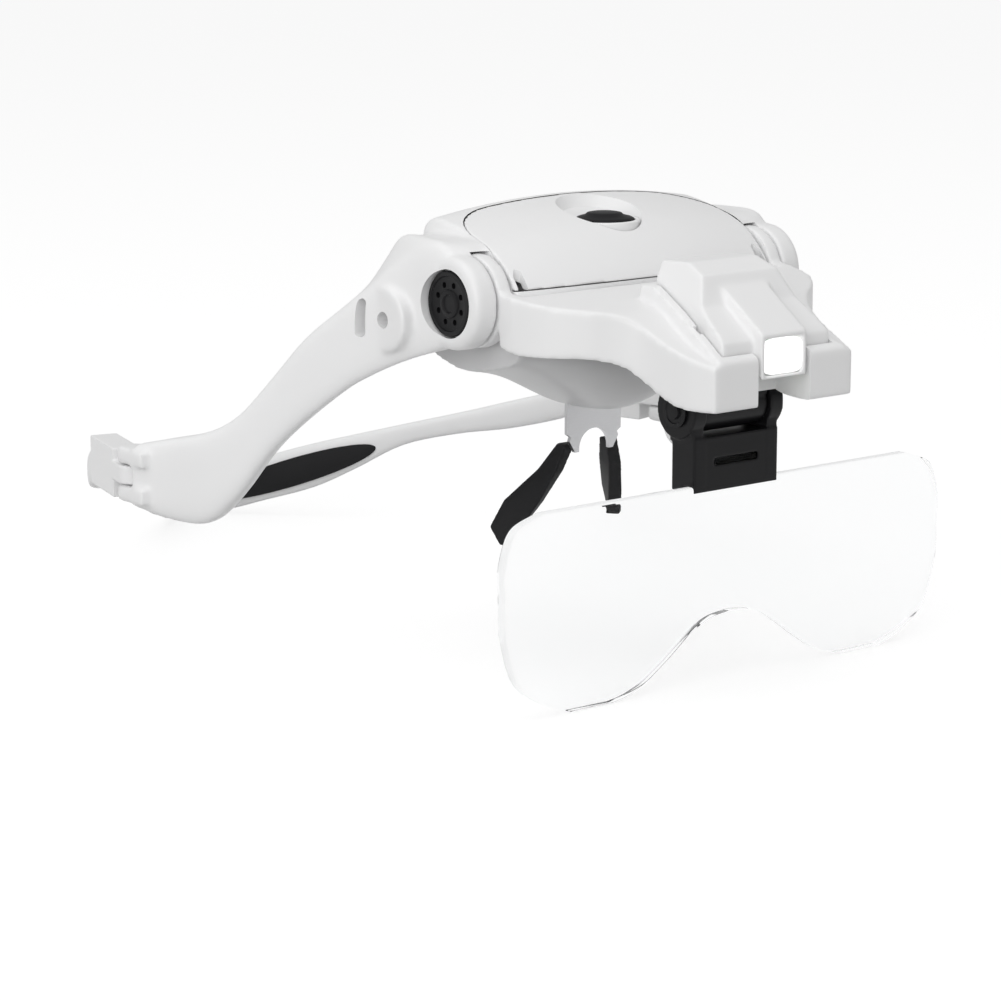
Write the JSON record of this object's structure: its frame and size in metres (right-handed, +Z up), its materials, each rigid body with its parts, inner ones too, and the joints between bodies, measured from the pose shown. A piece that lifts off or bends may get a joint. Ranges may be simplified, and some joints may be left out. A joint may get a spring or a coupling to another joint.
{
  "type": "head visor magnifier",
  "caption": "Head-worn magnifier: white frame with side wings and folding temples, tilting bracket with a lamp, and a flip-up clear lens over a sprung power button housing.",
  "frame": {"origin": "centre of the footprint, on the surface that the lens lobes and the temple tips stand on", "axes": "+X along the bracket's pivot axis, +Y back over the head towards the temple tips, +Z up"},
  "size_m": [0.138, 0.1906, 0.0831],
  "materials": {
    "white_shell": "fine satin moulding",
    "black_plastic": "fine spark texture",
    "black_rubber": "soft matt",
    "satin_steel": "satin grey",
    "screw_steel": "plated",
    "battery_case": "plain wrapped cell",
    "contact_metal": "nickel plated",
    "board_green": "solder mask",
    "grey_plastic": "plain",
    "clear_lens": "polished acrylic",
    "lamp_diffuser": "clear moulded",
    "led_body": "clear epoxy"
  },
  "bodies": {
    "frame": {"main_frame": "white_shell", "housing_bottom": "white_shell", "button_bezel": "black_rubber", "circuit_board": "board_green", "switch_block": "black_plastic", "battery_front": "battery_case", "battery_rear": "battery_case", "battery_tray": "grey_plastic", "contact_plates": "contact_metal", "contact_springs": "contact_metal", "left_pivot_bush": "screw_steel", "right_pivot_bush": "screw_steel", "left_pivot_cap": "black_plastic", "right_pivot_cap": "black_plastic", "left_pivot_screw": "screw_steel", "right_pivot_screw": "screw_steel", "pivot_washers": "screw_steel", "nose_plate": "satin_steel", "left_nose_pad": "black_rubber", "right_nose_pad": "black_rubber", "case_screws": "screw_steel", "wing_screws": "screw_steel", "temple_hinge_pins": "screw_steel"},
    "cover": {"battery_cover": "white_shell"},
    "button": {"power_button": "black_rubber"},
    "bracket": {"front_bracket": "white_shell", "holder_pin": "black_plastic", "lamp_pins": "screw_steel"},
    "lamp": {"lamp_housing": "white_shell", "lamp_window": "lamp_diffuser", "lamp_board": "board_green", "leds": "led_body"},
    "holder": {"lens_holder": "black_plastic"},
    "lens": {"magnifier_lens": "clear_lens"},
    "left_temple": {"left_temple_socket": "white_shell", "left_temple_arm": "white_shell", "left_temple_pad": "black_rubber"},
    "right_temple": {"right_temple_socket": "white_shell", "right_temple_arm": "white_shell", "right_temple_pad": "black_rubber"}
  },
  "joints": [
    {"name": "bracket_tilt", "type": "hinge", "parent": "frame", "child": "bracket", "pos_m": [0, -0.05, 0.0675], "axis": [-1, 0, 0], "range_deg": [-10, 45]},
    {"name": "lamp_tilt", "type": "hinge", "parent": "bracket", "child": "lamp", "pos_m": [0, -0.0744, 0.0629], "axis": [-1, 0, 0], "range_deg": [0, 16]},
    {"name": "lens_flip", "type": "hinge", "parent": "bracket", "child": "holder", "pos_m": [0, -0.0788, 0.0493], "axis": [-1, 0, 0], "range_deg": [-10, 60]},
    {"name": "lens_pull", "type": "slide", "parent": "holder", "child": "lens", "axis": [0, 0, -1], "range_m": [0, 0.0085]},
    {"name": "cover_lift", "type": "slide", "parent": "frame", "child": "cover", "axis": [0, 0, 1], "range_m": [0, 0.0022]},
    {"name": "button_press", "type": "slide", "parent": "frame", "child": "button", "axis": [0, 0, -1], "range_m": [0, 0.001], "stiffness_N_per_m": 1500},
    {"name": "left_temple_fold", "type": "hinge", "parent": "frame", "child": "left_temple", "pos_m": [-0.066, 0.0119, 0.0308], "axis": [0, 0, -1], "range_deg": [-30, 34]},
    {"name": "right_temple_fold", "type": "hinge", "parent": "frame", "child": "right_temple", "pos_m": [0.066, 0.0119, 0.0308], "axis": [0, 0, 1], "range_deg": [-30, 45]}
  ]
}
